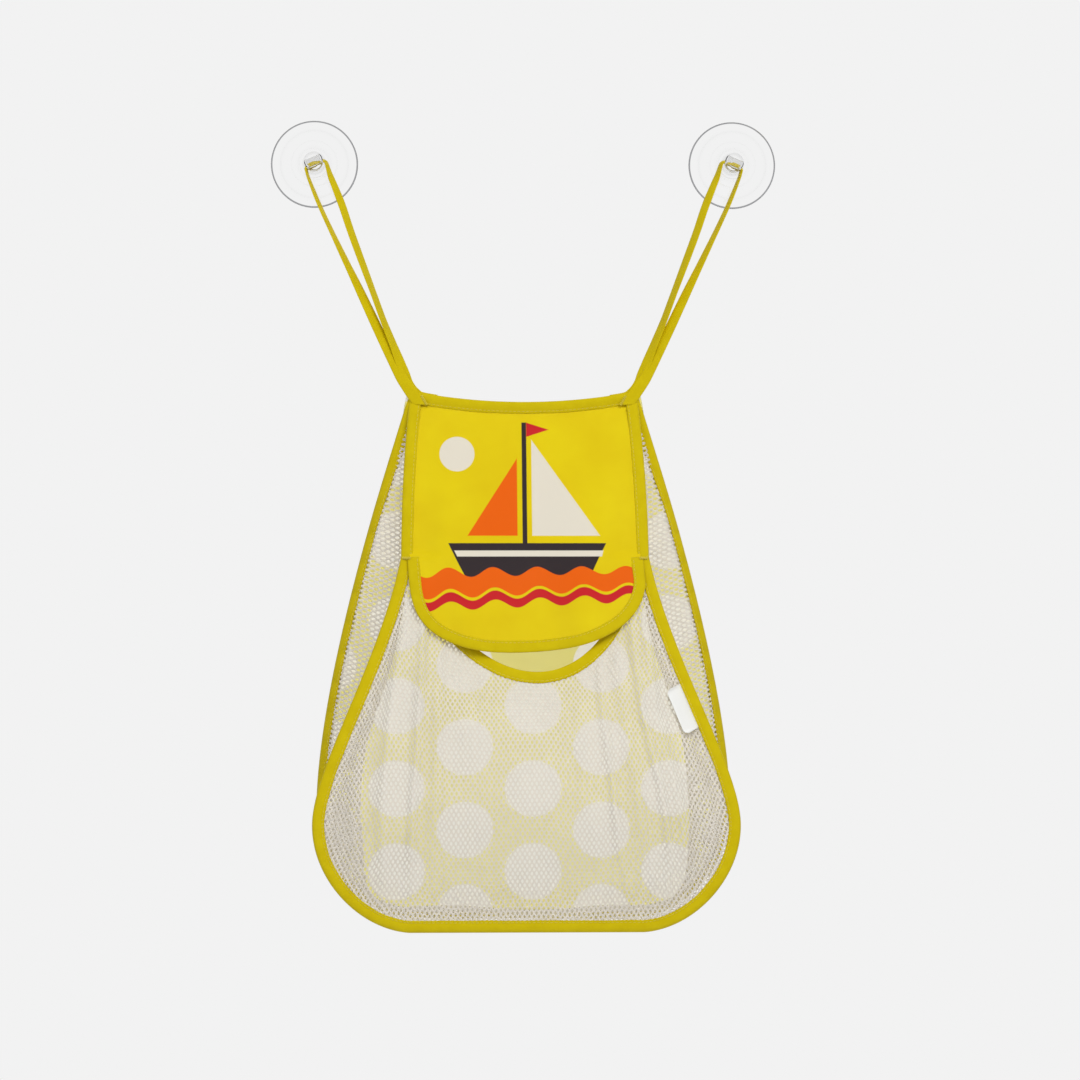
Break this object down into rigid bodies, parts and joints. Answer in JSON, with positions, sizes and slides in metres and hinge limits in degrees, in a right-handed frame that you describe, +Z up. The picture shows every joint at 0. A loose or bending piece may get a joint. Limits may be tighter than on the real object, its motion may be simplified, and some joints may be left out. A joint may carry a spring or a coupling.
{
  "type": "bath toy organizer",
  "caption": "Hanging mesh bag for bath toys with taped seams, a scooped front opening under a lift-up cloth flap, and tape loops tied to suction cups that grip a smooth wall.",
  "frame": {"origin": "on the wall plane, midway between the centres of the suction cups", "axes": "+X to the right as seen from the front, +Y into the wall, +Z up; the front faces -Y"},
  "size_m": [0.348, 0.1087, 0.549],
  "materials": {
    "clear_pvc": "clear soft PVC, moulded in one piece",
    "yellow_tape": "woven yellow binding tape with a fine rib",
    "yellow_nylon": "yellow satin nylon with a printed sailboat",
    "pale_nylon": "pale yellow woven nylon with white polka dots",
    "white_mesh": "white knitted polyester mesh",
    "white_satin": "blank woven satin label",
    "white_thread": "dense bar-tack stitching"
  },
  "bodies": {
    "cups": {"suction_cup_left": "clear_pvc", "suction_cup_right": "clear_pvc"},
    "loops": {"hanging_loop_left": "yellow_tape", "hanging_loop_right": "yellow_tape"},
    "bag": {"top_binding": "yellow_tape", "back_panel": "pale_nylon", "back_binding": "yellow_tape", "gusset": "white_mesh", "front_panel": "white_mesh", "front_binding": "yellow_tape", "neckline_binding": "yellow_tape", "flap_upper": "yellow_nylon", "label": "white_satin", "flap_tack_left": "white_thread", "flap_tack_right": "white_thread", "strap_tack_left": "yellow_tape", "strap_tack_right": "yellow_tape"},
    "flap": {"flap_lower": "yellow_nylon", "flap_binding": "yellow_tape"}
  },
  "joints": [
    {"name": "loop_swing", "type": "hinge", "parent": "cups", "child": "loops", "pos_m": [0, -0.0158, 0], "axis": [-1, 0, 0], "range_deg": [0, 30]},
    {"name": "bag_tilt", "type": "hinge", "parent": "loops", "child": "bag", "pos_m": [0, -0.00205, -0.1582], "axis": [-1, 0, 0], "range_deg": [0, 60]},
    {"name": "flap_lift", "type": "hinge", "parent": "bag", "child": "flap", "pos_m": [0, -0.04687, -0.27], "axis": [-1, 0, 0], "range_deg": [0, 140]}
  ]
}
